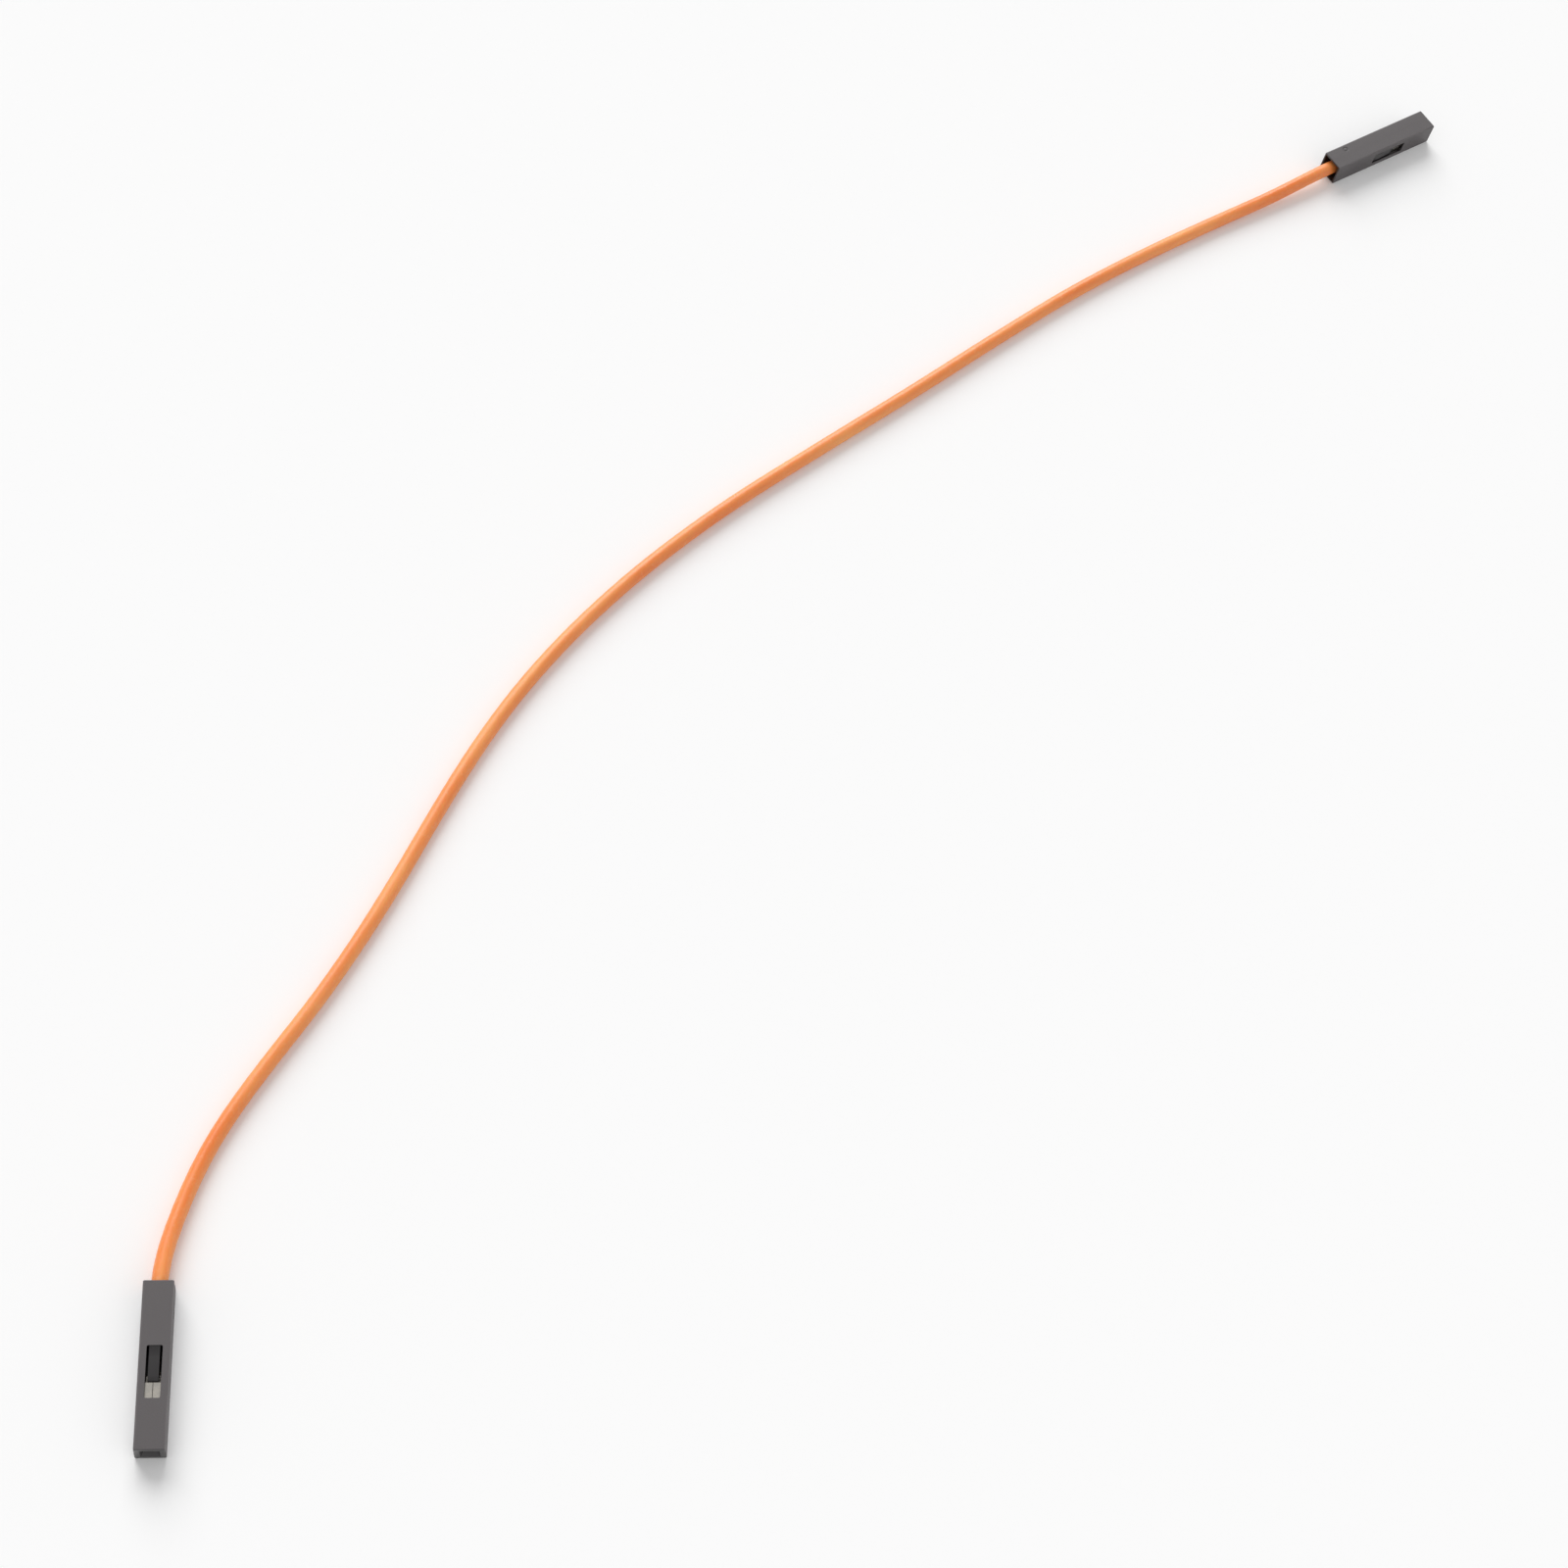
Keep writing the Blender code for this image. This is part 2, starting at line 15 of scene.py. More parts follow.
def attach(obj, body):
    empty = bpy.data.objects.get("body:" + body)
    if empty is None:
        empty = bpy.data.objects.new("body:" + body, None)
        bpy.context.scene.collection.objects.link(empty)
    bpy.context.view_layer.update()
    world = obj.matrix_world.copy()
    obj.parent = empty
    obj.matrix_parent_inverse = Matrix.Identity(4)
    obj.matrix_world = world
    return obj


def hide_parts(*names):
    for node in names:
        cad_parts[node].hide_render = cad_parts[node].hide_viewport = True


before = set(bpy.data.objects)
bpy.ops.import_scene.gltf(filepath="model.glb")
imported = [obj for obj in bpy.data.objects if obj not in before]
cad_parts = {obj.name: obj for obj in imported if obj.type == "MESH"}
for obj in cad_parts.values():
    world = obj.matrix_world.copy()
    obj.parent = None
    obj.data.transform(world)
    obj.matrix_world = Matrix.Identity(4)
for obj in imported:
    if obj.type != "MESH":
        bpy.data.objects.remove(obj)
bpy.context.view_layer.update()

MM = 0.001


# Wire and housing. On each end the jacket is cut at one place, and a wrap crimp holds it between two others.
WIRE_DIAMETER = 1.40 * MM
HOUSING_HALF = 1.27 * MM
HOUSING_LENGTH = 14.0 * MM
JACKET_CUT = 9.75 * MM
WRAP_FRONT = 9.90 * MM
WRAP_REAR = 12.00 * MM

# Lay of the wire, as in the CAD source
NEAR_EXIT = (-0.06755, -0.05820)
NEAR_HEADING = math.radians(88)
NEAR_ROLL = 0.0
FAR_EXIT = (0.05635, 0.06465)
FAR_HEADING = math.radians(207.9)
FAR_ROLL = math.radians(-90)
EXIT_RUN = 1.8 * MM
ROUTE = [
    (-0.0665, -0.0531, 0.00096),
    (-0.0651, -0.0492, 0.00075),
    (-0.0633, -0.0454, 0.0007),
    (-0.0610, -0.0417, 0.0007),
    (-0.0581, -0.0376, 0.0007),
    (-0.0548, -0.0331, 0.0007),
    (-0.0512, -0.0276, 0.0007),
    (-0.0476, -0.0215, 0.0007),
    (-0.0440, -0.0149, 0.0007),
    (-0.0402, -0.0083, 0.0007),
    (-0.0360, -0.0020, 0.0007),
    (-0.0307, 0.0045, 0.0007),
    (-0.0237, 0.0116, 0.0007),
    (-0.0149, 0.0190, 0.0007),
    (-0.0046, 0.0264, 0.0007),
    (0.0060, 0.0338, 0.0007),
    (0.0163, 0.0412, 0.0007),
    (0.0250, 0.0472, 0.0007),
    (0.0336, 0.0524, 0.0007),
    (0.0424, 0.0572, 0.00074),
    (0.0496, 0.0609, 0.00092),
]
CURVE_STEPS = 24
EASING_PASSES = 60

# Skin of the jacket. What swells it is a share of its radius: how far it fills a wrap crimp, how far it
# bulges just behind one, and the waves from the extruder, each with its height, its length for one radian
# and its start.
RING_SPACING = 0.36 * MM
JACKET_SIDES = 32
CRIMP_FILL = 0.024
BULGE = 0.045
BULGE_BEHIND = 0.30 * MM
BULGE_REACH = 0.28 * MM
EXTRUDER_WAVES = ((0.004, 6.1 * MM, 0.0), (0.003, 2.3 * MM, 1.0))
WAVES_SET_IN = 4.0 * MM

# Housing moulding
END_ROUND = 0.08 * MM
END_STEPS = 3
LONG_EDGE_ROUND = 0.14 * MM
LONG_EDGE_STEPS = 6
MOULD_STEP = 0.014 * MM
MOULD_STEP_RISE = 0.022 * MM
CUT_EDGE_ROUND = 0.018 * MM
CAVITY_HALF = 0.97 * MM
CAVITY_CORNER = 0.06 * MM
FRONT_WALL = 1.20 * MM
REAR_FLARE = 0.11 * MM
REAR_FLARE_DEPTH = 0.40 * MM
PIN_HOLE = 0.94 * MM
FUNNEL_WIDTH = 1.62 * MM
FUNNEL_DEPTH = 0.52 * MM
WINDOW_FRONT = 4.20 * MM
LATCH_TIP = 5.63 * MM
LATCH_HINGE = 8.53 * MM
LATCH_WIDTH = 0.88 * MM
LATCH_SLOT = 0.20 * MM
LATCH_THICKNESS = 0.19 * MM
LATCH_RECESS = 0.08 * MM
LATCH_TIP_RISE = 0.06 * MM
LATCH_NOSE = 0.40 * MM
LATCH_NOSE_LOW = 0.47 * MM
LATCH_ROOT = 0.30 * MM
WINDOW_CORNER = 0.12 * MM
GATE_STATION = 11.6 * MM
GATE_RADIUS = 0.34 * MM
GATE_NUB_RADIUS = 0.15 * MM
GATE_DEPTH = 0.035 * MM
GATE_SIDES = 24
CUT_THROUGH = 0.5 * MM
CUTS_MERGE = 0.0005 * MM
FLAT_WITHIN = math.radians(0.5)

# Sheet of the terminal, and the copper strands in front of the cut jacket
SHEET = 0.18 * MM
SHEET_MERGE = 0.001 * MM
SHARPEST_FOLD = math.radians(50)
STRAND_RADIUS = 0.08 * MM
STRAND_RING = 0.172 * MM
STRANDS_IN_RING = 6
STRAND_FRONT = 7.20 * MM
STRAND_REAR = 10.30 * MM
CONDUCTOR_REAR = 9.35 * MM
BRIDGE_REAR = 9.73 * MM
STRAND_DROP = 0.12 * MM
STRAND_TURN = math.radians(22) / MM
STRAND_SIDES = 10
STRAND_STEPS = 48

# The photograph's camera: its place over the table and its pitch. The lens is longer than the
# photograph's, and the camera is swung towards the middle of this wire, so that the wire fills the picture.
CAMERA_PLACE = Vector((-0.05397, -0.1329, 0.225))
CAMERA_PITCH = math.radians(55)
CAMERA_AIM = Vector((-0.0112, -0.0113, 0.0))
CAMERA_LENS = 63.4

# Table: half its side, and the glow that lifts it towards white where it is seen directly
TABLE_HALF = 3.0
TABLE_LIFT = 0.06

# Light: how bright the room is as a light, and how it looks at the horizon and overhead. Then each far
# lamp's name, the way towards it, how wide it looks and its strength. The room, the first lamp and the
# second give the table 0.48, 0.44 and 0.05 of full white.
ROOM_LEVEL = 0.48
HORIZON_LEVEL = 0.97
CEILING_LEVEL = 0.52
LAMPS = (
    ("wide softbox behind", (-0.14, 0.80, 0.56), math.radians(46), 2.43),
    ("fill in front", (0.45, -0.60, 0.55), math.radians(60), 0.27),
)


def make_camera():
    data = bpy.data.cameras.new("camera")
    data.sensor_width = 36
    data.lens = CAMERA_LENS
    data.clip_start = 0.01
    data.clip_end = 20
    camera = bpy.data.objects.new("camera", data)
    bpy.context.scene.collection.objects.link(camera)
    photo_view = Vector((0, math.cos(CAMERA_PITCH), -math.sin(CAMERA_PITCH)))
    swing = photo_view.rotation_difference(CAMERA_AIM - CAMERA_PLACE)
    camera.location = CAMERA_PLACE
    camera.rotation_mode = "QUATERNION"
    camera.rotation_quaternion = swing @ photo_view.to_track_quat("-Z", "Y")
    bpy.context.scene.camera = camera


def add_node(tree, kind, inputs=(), **settings):
    """Adds a node. Settings are its properties; inputs give a value, or a socket to link, for each socket."""
    new = tree.nodes.new(kind)
    for name, value in settings.items():
        setattr(new, name, value)
    for key, value in dict(inputs).items():
        if isinstance(value, bpy.types.NodeSocket):
            tree.links.new(value, new.inputs[key])
        else:
            new.inputs[key].default_value = value
    return new


def linear(code):
    """An sRGB hex colour as linear values, opaque."""
    shades = [int(code[k:k + 2], 16) / 255 for k in (1, 3, 5)]
    return (*(s / 12.92 if s <= 0.04045 else ((s + 0.055) / 1.055) ** 2.4 for s in shades), 1.0)


def add_piece(name, mesh):
    piece = bpy.data.objects.new(name, mesh)
    bpy.context.scene.collection.objects.link(piece)
    return piece


def made_plain(piece):
    """The piece with its modifiers' result as its own mesh."""
    graph = bpy.context.evaluated_depsgraph_get()
    mesh = bpy.data.meshes.new_from_object(
        piece.evaluated_get(graph), preserve_all_data_layers=True, depsgraph=graph
    )
    mesh.name = piece.name
    piece.modifiers.clear()
    piece.data = mesh
    return piece


def grow(name, seed, tree, values):
    """Runs a node tree on a seed mesh and keeps what it makes."""
    piece = add_piece(name, seed)
    modifier = piece.modifiers.new(tree.name, "NODES")
    modifier.node_group = tree
    sockets = {item.name: item.identifier
               for item in tree.interface.items_tree if item.in_out == "INPUT"}
    for label, value in values.items():
        modifier[sockets[label]] = value
    return made_plain(piece)


def new_tree(name, numbers):
    """An empty geometry tree with a named number input, and its usual value, for each size."""
    tree = bpy.data.node_groups.new(name, "GeometryNodeTree")
    tree.interface.new_socket(name="Path", in_out="INPUT", socket_type="NodeSocketGeometry")
    for label, value in numbers.items():
        kind = "NodeSocketInt" if isinstance(value, int) else "NodeSocketFloat"
        tree.interface.new_socket(name=label, in_out="INPUT", socket_type=kind).default_value = value
    tree.interface.new_socket(name="Finish", in_out="INPUT", socket_type="NodeSocketMaterial")
    tree.interface.new_socket(name="Piece", in_out="OUTPUT", socket_type="NodeSocketGeometry")
    return tree


# Ends and route

def end_frame(leave_at, heading, roll):
    """Turns an end's own coordinates into the row frame. Its origin is the middle of the mating face."""
    place = station_on(leave_at, heading, 0.0)
    turn = Euler((0.0, roll, heading - math.pi / 2))
    return Matrix.Translation(place) @ turn.to_matrix().to_4x4()


def station_on(leave_at, heading, station):
    back = station - HOUSING_LENGTH
    x = leave_at[0] + back * math.cos(heading)
    y = leave_at[1] + back * math.sin(heading)
    return Vector((x, y, HOUSING_HALF))


def centripetal(before, start, stop, after, share):
    """A point between start and stop on a centripetal Catmull-Rom curve."""
    places = (before, start, stop, after)
    times = [0.0]
    for place, following in zip(places, places[1:]):
        times.append(times[-1] + math.sqrt((following - place).length))
    now = times[1] + (times[2] - times[1]) * share

    def between(first, second, low, high):
        return first.lerp(second, (now - low) / (high - low))

    one = between(before, start, times[0], times[1])
    two = between(start, stop, times[1], times[2])
    three = between(stop, after, times[2], times[3])
    left = between(one, two, times[0], times[2])
    right = between(two, three, times[1], times[3])
    return between(left, right, times[1], times[2])


def reach_along(line):
    """How far along the line each of its points lies."""
    return np.concatenate([[0], np.cumsum(np.linalg.norm(np.diff(line, axis=0), axis=1))])


def wire_line():
    """The middle of the jacket from one crimp to the other, in even steps."""
    near = [station_on(NEAR_EXIT, NEAR_HEADING, s)
            for s in (JACKET_CUT, HOUSING_LENGTH, HOUSING_LENGTH + EXIT_RUN)]
    far = [station_on(FAR_EXIT, FAR_HEADING, s)
           for s in (HOUSING_LENGTH + EXIT_RUN, HOUSING_LENGTH, JACKET_CUT)]
    knots = [*near[1:], *map(Vector, ROUTE), *far[:2]]
    dense = [near[0], near[1]]
    for k in range(1, len(knots) - 2):
        for step in range(CURVE_STEPS):
            dense.append(centripetal(*knots[k - 1:k + 3], step / CURVE_STEPS))
    dense += far
    places = np.array(dense)
    # The curve may dip a little between two points that lie on the table.
    places[:, 2] = np.maximum(places[:, 2], WIRE_DIAMETER / 2)
    reach = reach_along(places)
    wanted = np.linspace(0, reach[-1], round(reach[-1] / RING_SPACING) + 1)
    line = np.stack([np.interp(wanted, reach, places[:, k]) for k in range(3)], axis=1)
    # The wire is springy, so its bends run into each other without corners.
    from_end = np.minimum(wanted, wanted[-1] - wanted)[1:-1, None]
    free = np.clip((from_end - (HOUSING_LENGTH - JACKET_CUT)) / EXIT_RUN, 0, 1) / 2
    for _ in range(EASING_PASSES):
        line[1:-1] += free * ((line[:-2] + line[2:]) / 2 - line[1:-1])
    return line


def line_mesh(name, line, swell=None):
    """A line as a mesh of edges, with how thick it is at each point."""
    mesh = bpy.data.meshes.new(name)
    mesh.from_pydata([tuple(p) for p in line], [(k, k + 1) for k in range(len(line) - 1)], [])
    if swell is not None:
        mesh.attributes.new("swell", "FLOAT", "POINT").data.foreach_set("value", swell.astype(np.float32))
    return mesh


# Materials

def start_material(name):
    material = bpy.data.materials.new(name)
    material.use_nodes = True
    tree = material.node_tree
    return material, tree, tree.nodes["Principled BSDF"]


def extruded_pvc():
    """Flexible PVC, extruded over the copper: a satin skin in one strong colour, a touch cloudy along its
    length and dusted paler in specks where it was handled, with faint lines that the die drew and a soft
    dimpled surface between them."""
    material, tree, shader = start_material("orange flexible PVC, extruded")
    place = add_node(tree, "ShaderNodeAttribute", attribute_name="straight_place").outputs["Vector"]
    long_cloud = add_node(tree, "ShaderNodeMapping", {"Vector": place, "Scale": (1.0, 1.0, 0.12)})
    cloud = add_node(tree, "ShaderNodeTexNoise", {
        "Vector": long_cloud.outputs[0], "Scale": 1 / (1.6 * MM), "Detail": 3.0, "Roughness": 0.55})
    colour = add_node(tree, "ShaderNodeValToRGB", {"Fac": cloud.outputs["Fac"]})
    colour.color_ramp.elements[0].position = 0.30
    colour.color_ramp.elements[0].color = linear("#F2833A")
    colour.color_ramp.elements[1].position = 0.72
    colour.color_ramp.elements[1].color = linear("#FDA75E")
    specks = add_node(tree, "ShaderNodeTexNoise", {"Vector": place, "Scale": 1 / (0.30 * MM), "Detail": 4.0})
    dusty = add_node(tree, "ShaderNodeMapRange", {
        "Value": specks.outputs["Fac"], "From Min": 0.56, "From Max": 0.74, "To Max": 0.22})
    dusted = add_node(tree, "ShaderNodeMix", {
        "Factor": dusty.outputs[0], 6: colour.outputs["Color"], 7: linear("#F9C39B")}, data_type="RGBA")
    tree.links.new(dusted.outputs[2], shader.inputs["Base Color"])
    gloss = add_node(tree, "ShaderNodeMapRange", {
        "Value": cloud.outputs["Fac"], "From Min": 0.3, "From Max": 0.7, "To Min": 0.34, "To Max": 0.46})
    tree.links.new(gloss.outputs[0], shader.inputs["Roughness"])
    # Die lines are a few hundredths of a millimetre apart; they are drawn at 0.12 mm so that they show.
    drawn_out = add_node(tree, "ShaderNodeMapping", {"Vector": place, "Scale": (1.0, 1.0, 0.02)})
    die_lines = add_node(tree, "ShaderNodeTexNoise", {
        "Vector": drawn_out.outputs[0], "Scale": 1 / (0.12 * MM), "Detail": 2.0})
    dimples = add_node(tree, "ShaderNodeTexNoise", {
        "Vector": place, "Scale": 1 / (0.22 * MM), "Detail": 2.0})
    lined = add_node(tree, "ShaderNodeBump", {
        "Height": die_lines.outputs["Fac"], "Strength": 0.35, "Distance": 0.010 * MM})
    skin = add_node(tree, "ShaderNodeBump", {
        "Height": dimples.outputs["Fac"], "Strength": 0.45, "Distance": 0.012 * MM,
        "Normal": lined.outputs["Normal"]})
    tree.links.new(skin.outputs["Normal"], shader.inputs["Normal"])
    shader.inputs["IOR"].default_value = 1.53
    # A little light sinks in and comes out redder, which keeps the shaded side a strong orange.
    shader.inputs["Subsurface Weight"].default_value = 0.25
    shader.inputs["Subsurface Radius"].default_value = (1.0, 0.35, 0.12)
    shader.inputs["Subsurface Scale"].default_value = 0.45 * MM
    return material


def moulded_polyester():
    """Black glass-filled polyester, injection moulded in a spark-eroded mould. The long outer faces have an
    even matt grain in a lighter charcoal, which is partly a painted sheen, with a pale bloom of handling on
    it, patchily rubbed along the edges. The ends, the latch and the inside, which polished steel formed, are
    smoother and keep the plastic's own near-black, so they are much darker than the painted sheen outside."""
    material, tree, shader = start_material("black polyester, injection moulded")
    place = add_node(tree, "ShaderNodeAttribute", attribute_name="own_place").outputs["Vector"]
    grain = add_node(tree, "ShaderNodeTexNoise", {
        "Vector": place, "Scale": 1 / (0.08 * MM), "Detail": 4.0, "Roughness": 0.70})
    flow = add_node(tree, "ShaderNodeTexNoise", {
        "Vector": place, "Scale": 1 / (2.2 * MM), "Detail": 2.0, "Distortion": 0.6})
    parts = add_node(tree, "ShaderNodeSeparateXYZ", {"Vector": place})
    sides = [add_node(tree, "ShaderNodeMath", {0: parts.outputs[axis]}, operation="ABSOLUTE").outputs[0]
             for axis in ("X", "Z")]
    from_edge, from_skin = [
        add_node(tree, "ShaderNodeMath", {0: sides[0], 1: sides[1]}, operation=pick).outputs[0]
        for pick in ("MINIMUM", "MAXIMUM")]
    rubbed = add_node(tree, "ShaderNodeMapRange", {
        "Value": from_edge, "From Min": HOUSING_HALF - 0.16 * MM, "From Max": HOUSING_HALF - 0.04 * MM})
    patchy = add_node(tree, "ShaderNodeMath", {
        0: rubbed.outputs[0], 1: flow.outputs["Fac"]}, operation="MULTIPLY")
    outside = add_node(tree, "ShaderNodeMapRange", {
        "Value": from_skin, "From Min": HOUSING_HALF - 0.055 * MM, "From Max": HOUSING_HALF - 0.020 * MM,
    }).outputs[0]
    # Painted sheen: the two greys of the outer grain are lighter than the plastic's own near-black (#232021),
    # partly standing in for the sheen of the light on the outer faces.
    grain_and_painted_sheen = add_node(tree, "ShaderNodeMix", {
        "Factor": grain.outputs["Fac"], 6: linear("#454142"), 7: linear("#5B5657")}, data_type="RGBA")
    body = add_node(tree, "ShaderNodeMix", {
        "Factor": outside, 6: linear("#232021"), 7: grain_and_painted_sheen.outputs[2]}, data_type="RGBA")
    worn = add_node(tree, "ShaderNodeMix", {
        "Factor": patchy.outputs[0], 6: body.outputs[2], 7: linear("#7C7778")}, data_type="RGBA")
    tree.links.new(worn.outputs[2], shader.inputs["Base Color"])
    matt = add_node(tree, "ShaderNodeMapRange", {
        "Value": flow.outputs["Fac"], "From Min": 0.3, "From Max": 0.7, "To Min": 0.46, "To Max": 0.58})
    dull = add_node(tree, "ShaderNodeMix", {
        "Factor": outside, 2: 0.34, 3: matt.outputs[0]}, data_type="FLOAT")
    tree.links.new(dull.outputs[0], shader.inputs["Roughness"])
    # The real grain is about 0.04 mm across; it is drawn at 0.08 mm so that it shows.
    grip = add_node(tree, "ShaderNodeMix", {"Factor": outside, 2: 0.08, 3: 0.50}, data_type="FLOAT")
    pitted = add_node(tree, "ShaderNodeBump", {
        "Height": grain.outputs["Fac"], "Strength": grip.outputs[0], "Distance": 0.012 * MM})
    tree.links.new(pitted.outputs["Normal"], shader.inputs["Normal"])
    shader.inputs["IOR"].default_value = 1.57
    return material


def tinned_sheet():
    """Phosphor bronze strip, tin plated, stamped and folded: silvery with fine rolled lines along the strip,
    duller blotches in the tin, and bare bronze, a little smeared with tin, on the stamped edges."""
    material, tree, shader = start_material("phosphor bronze sheet, tin plated")
    place = add_node(tree, "ShaderNodeAttribute", attribute_name="own_place").outputs["Vector"]
    # Rolled lines are a few thousandths of a millimetre apart; they are drawn at 0.06 mm so that they show.
    rolled = add_node(tree, "ShaderNodeMapping", {"Vector": place, "Scale": (1.0, 0.05, 1.0)})
    lines = add_node(tree, "ShaderNodeTexNoise", {
        "Vector": rolled.outputs[0], "Scale": 1 / (0.06 * MM), "Detail": 3.0})
    blotches = add_node(tree, "ShaderNodeTexNoise", {
        "Vector": place, "Scale": 1 / (0.7 * MM), "Detail": 3.0})
    stamped = add_node(tree, "ShaderNodeAttribute", attribute_name="stamped_edge").outputs["Fac"]
    tin = add_node(tree, "ShaderNodeMix", {
        "Factor": blotches.outputs["Fac"], 6: linear("#CFCCC6"), 7: linear("#B3ACA0")}, data_type="RGBA")
    bronze = add_node(tree, "ShaderNodeMix", {
        "Factor": lines.outputs["Fac"], 6: linear("#B98459"), 7: linear("#CDB295")}, data_type="RGBA")
    colour = add_node(tree, "ShaderNodeMix", {
        "Factor": stamped, 6: tin.outputs[2], 7: bronze.outputs[2]}, data_type="RGBA")
    tree.links.new(colour.outputs[2], shader.inputs["Base Color"])
    dull = add_node(tree, "ShaderNodeMapRange", {
        "Value": blotches.outputs["Fac"], "From Min": 0.3, "From Max": 0.7, "To Min": 0.20, "To Max": 0.34})
    tree.links.new(dull.outputs[0], shader.inputs["Roughness"])
    drawn = add_node(tree, "ShaderNodeBump", {
        "Height": lines.outputs["Fac"], "Strength": 0.3, "Distance": 0.004 * MM})
    tree.links.new(drawn.outputs["Normal"], shader.inputs["Normal"])
    shader.inputs["Metallic"].default_value = 1.0
    return material


def tinned_copper():
    """Copper wire, drawn and thinly tinned: silvery, with the copper warming it in patches."""
    material, tree, shader = start_material("copper strand, drawn and tinned")
    place = add_node(tree, "ShaderNodeAttribute", attribute_name="own_place").outputs["Vector"]
    patches = add_node(tree, "ShaderNodeTexNoise", {
        "Vector": place, "Scale": 1 / (0.35 * MM), "Detail": 2.0})
    colour = add_node(tree, "ShaderNodeMix", {
        "Factor": patches.outputs["Fac"], 6: linear("#D9CFC6"), 7: linear("#D2A284")}, data_type="RGBA")
    tree.links.new(colour.outputs[2], shader.inputs["Base Color"])
    dull = add_node(tree, "ShaderNodeMapRange", {
        "Value": patches.outputs["Fac"], "To Min": 0.22, "To Max": 0.40})
    tree.links.new(dull.outputs[0], shader.inputs["Roughness"])
    shader.inputs["Metallic"].default_value = 1.0
    return material


# Jacket

def jacket_tree():
    """A tube along the path. The strands' lay shows through it as a very low spiral wave."""
    tree = new_tree("jacket tube", {
        "Radius": WIRE_DIAMETER / 2, "Sides": JACKET_SIDES, "Wave height": 0.006 * MM,
        "Wave pitch": 11.0 * MM, "Strands": STRANDS_IN_RING})
    given = add_node(tree, "NodeGroupInput").outputs
    path = add_node(tree, "GeometryNodeMeshToCurve", {"Mesh": given["Path"]})
    run = add_node(tree, "GeometryNodeSplineParameter")
    measured = add_node(tree, "GeometryNodeStoreNamedAttribute", {
        "Geometry": path.outputs[0], "Name": "run", "Value": run.outputs["Length"]}, domain="POINT")
    circle = add_node(tree, "GeometryNodeCurvePrimitiveCircle", {
        "Resolution": given["Sides"], "Radius": given["Radius"]})
    around = add_node(tree, "GeometryNodeSplineParameter")
    marked = add_node(tree, "GeometryNodeStoreNamedAttribute", {
        "Geometry": circle.outputs["Curve"], "Name": "around", "Value": around.outputs["Factor"]},
        domain="POINT")
    swell = add_node(tree, "GeometryNodeInputNamedAttribute", {"Name": "swell"})
    tube = add_node(tree, "GeometryNodeCurveToMesh", {
        "Curve": measured.outputs[0], "Profile Curve": marked.outputs[0],
        "Scale": swell.outputs["Attribute"], "Fill Caps": True})
    run_here = add_node(tree, "GeometryNodeInputNamedAttribute", {"Name": "run"}).outputs["Attribute"]
    around_here = add_node(tree, "GeometryNodeInputNamedAttribute", {"Name": "around"}).outputs["Attribute"]
    full_turn = add_node(tree, "ShaderNodeMath", {0: around_here, 1: math.tau}, operation="MULTIPLY")
    spread = [
        add_node(tree, "ShaderNodeMath", {0: add_node(
            tree, "ShaderNodeMath", {0: full_turn.outputs[0]}, operation=wave
        ).outputs[0], 1: given["Radius"]}, operation="MULTIPLY").outputs[0]
        for wave in ("COSINE", "SINE")]
    straight = add_node(tree, "ShaderNodeCombineXYZ", {"X": spread[0], "Y": spread[1], "Z": run_here})
    laid_out = add_node(tree, "GeometryNodeStoreNamedAttribute", {
        "Geometry": tube.outputs["Mesh"], "Name": "straight_place", "Value": straight.outputs[0]},
        domain="POINT", data_type="FLOAT_VECTOR")
    turns = add_node(tree, "ShaderNodeMath", {0: run_here, 1: given["Wave pitch"]}, operation="DIVIDE")
    twist = add_node(tree, "ShaderNodeMath", {0: turns.outputs[0], 1: around_here}, operation="ADD")
    lobes = add_node(tree, "ShaderNodeMath", {0: twist.outputs[0], 1: given["Strands"]}, operation="MULTIPLY")
    angle = add_node(tree, "ShaderNodeMath", {0: lobes.outputs[0], 1: math.tau}, operation="MULTIPLY")
    wave = add_node(tree, "ShaderNodeMath", {0: angle.outputs[0]}, operation="SINE")
    sunk = add_node(tree, "ShaderNodeMath", {0: wave.outputs[0], 1: 1.0}, operation="SUBTRACT")
    height = add_node(tree, "ShaderNodeMath", {
        0: sunk.outputs[0], 1: given["Wave height"]}, operation="MULTIPLY")
    outward = add_node(tree, "GeometryNodeInputNormal")
    push = add_node(tree, "ShaderNodeVectorMath", {
        0: outward.outputs["Normal"], "Scale": height.outputs[0]}, operation="SCALE")
    waved = add_node(tree, "GeometryNodeSetPosition", {
        "Geometry": laid_out.outputs[0], "Offset": push.outputs[0]})
    smooth = add_node(tree, "GeometryNodeSetShadeSmooth", {"Geometry": waved.outputs[0]})
    real = add_node(tree, "GeometryNodeRealizeInstances", {"Geometry": smooth.outputs[0]})
    dressed = add_node(tree, "GeometryNodeSetMaterial", {
        "Geometry": real.outputs[0], "Material": given["Finish"]})
    add_node(tree, "NodeGroupOutput", {"Piece": dressed.outputs[0]})
    return tree


def jacket_swell(line):
    """How thick the jacket is along its length. It fills each wrap crimp and bulges just behind it. Past the
    housings it is a hair uneven from the extruder, and nowhere thicker than its full size."""
    run = reach_along(line)
    from_end = np.minimum(run, run[-1] - run) + JACKET_CUT
    bulge = BULGE * np.exp(-((from_end - WRAP_REAR - BULGE_BEHIND) / BULGE_REACH) ** 2)
    filled = CRIMP_FILL * ((from_end > WRAP_FRONT) & (from_end < WRAP_REAR))
    uneven = sum(height * (np.sin(run / length + start) - 1) for height, length, start in EXTRUDER_WAVES)
    fade = np.clip((from_end - HOUSING_LENGTH) / WAVES_SET_IN, 0, 1)
    return 1 + bulge + filled + fade * uneven


